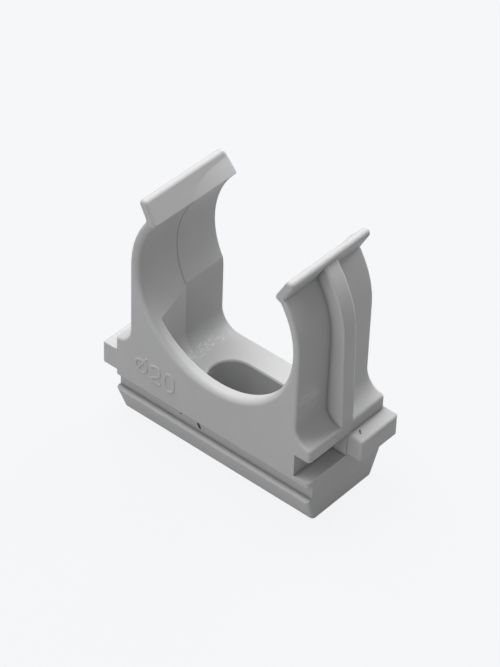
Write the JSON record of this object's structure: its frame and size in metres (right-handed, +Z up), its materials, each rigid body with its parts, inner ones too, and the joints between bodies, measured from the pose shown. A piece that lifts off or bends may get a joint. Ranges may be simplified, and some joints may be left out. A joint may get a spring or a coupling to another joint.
{
  "type": "conduit clip",
  "caption": "U-shaped snap-in clip that holds a round conduit to a surface, with a recessed screw slot, side rail grooves and end tabs that lock clips side by side.",
  "frame": {"origin": "middle of the base's underside, which rests on the fixing surface at Z = 0", "axes": "+X along the base from arm to arm, +Y along the conduit's axis away from the marked front face, +Z up out of the fixing surface towards the mouth"},
  "size_m": [0.0296, 0.0118, 0.0294],
  "materials": {
    "conduit_clip": "fine matte moulded surface"
  },
  "bodies": {
    "root": {"conduit_clip": "conduit_clip"}
  },
  "joints": []
}
